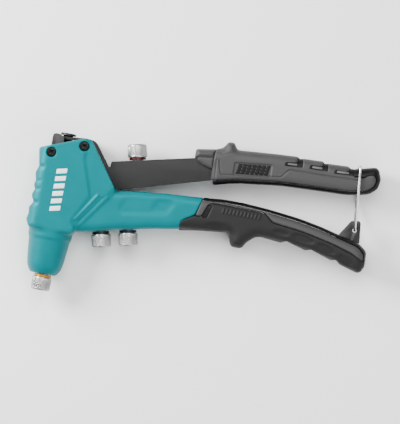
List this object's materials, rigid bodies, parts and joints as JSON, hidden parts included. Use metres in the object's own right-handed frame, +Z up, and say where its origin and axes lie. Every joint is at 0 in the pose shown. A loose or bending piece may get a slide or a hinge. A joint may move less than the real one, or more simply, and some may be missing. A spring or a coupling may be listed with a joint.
{
  "type": "hand riveter",
  "caption": "Two-handed blind riveter: cast head and arm, channel lever, soft grips, knurled screw-in nosepieces and a wire latch over the handle ends.",
  "frame": {"origin": "on the flat side panel that the tool rests on, on the nose axis, 80 mm behind the front face of the fitted nosepiece", "axes": "+X runs from the nose axis towards the handle ends, -Y is the way the nose points, +Z is up through the thickness of the tool as it lies on its side"},
  "size_m": [0.2575, 0.1376, 0.032],
  "materials": {
    "casting_paint": "satin turquoise powder coat over cast metal",
    "lever_coat": "fine-textured dark grey coat",
    "grip_hard": "lightly textured grey moulding",
    "grip_soft": "matt dark soft moulding",
    "grip_edge": "matt near-black strip",
    "bright_steel": "plated, diamond knurled",
    "zinc_steel": "zinc plated sheet and turned steel",
    "spring_wire": "bright drawn wire",
    "black_oxide": "black oxide",
    "ring_gold": "coloured anodised ring",
    "ring_green": "coloured anodised ring",
    "ring_blue": "coloured anodised ring",
    "ring_red": "coloured anodised ring"
  },
  "bodies": {
    "frame_body": {"body_casting": "casting_paint", "pivot_barrel_nut": "black_oxide", "pivot_screw": "black_oxide", "guide_barrel_nut": "black_oxide", "guide_screw": "black_oxide", "guide_bracket": "zinc_steel", "spring_seat": "zinc_steel", "return_spring": "spring_wire", "nose_bush": "zinc_steel", "nosepiece_fitted": "bright_steel", "id_ring_fitted": "ring_gold", "spare_nosepiece_arm_front": "bright_steel", "spare_ring_arm_front": "ring_green", "spare_nosepiece_arm_rear": "bright_steel", "spare_ring_arm_rear": "ring_blue", "latch_lug": "zinc_steel", "lug_pin": "zinc_steel", "lower_grip_spine": "grip_edge", "lower_grip_core": "grip_hard", "lower_grip_overmould": "grip_soft"},
    "lever": {"lever_channel": "lever_coat", "lever_bush": "zinc_steel", "spare_nosepiece_lever": "bright_steel", "spare_ring_lever": "ring_red", "upper_grip_pin": "zinc_steel", "upper_grip_collar": "grip_hard", "upper_grip_spine": "grip_edge", "upper_grip_shell": "grip_hard"},
    "draw_bar": {"draw_tube": "black_oxide", "flange_nut": "black_oxide", "jaw_case": "zinc_steel", "jaw_pusher": "zinc_steel", "pusher_spring": "spring_wire", "jaw_1": "black_oxide", "jaw_2": "black_oxide", "jaw_3": "black_oxide"},
    "bail": {"latch_bail": "spring_wire"}
  },
  "joints": [
    {"name": "lever_hinge", "type": "hinge", "parent": "frame_body", "child": "lever", "pos_m": [0.0137, 0.0328, 0.016], "axis": [0, 0, 1], "range_deg": [0, 60], "deforming": ["return_spring", "latch_bail"]},
    {"name": "draw_slide", "type": "slide", "parent": "frame_body", "child": "draw_bar", "axis": [0, -1, 0], "range_m": [0, 0.009]},
    {"name": "bail_hinge", "type": "hinge", "parent": "frame_body", "child": "bail", "pos_m": [0.2257, 0.0075, 0.016], "axis": [0, 0, 1], "range_deg": [-110, 0]}
  ],
  "couplings": [
    {"joint": "draw_slide", "follows": "lever_hinge", "m_per_rad": 0.00859}
  ]
}
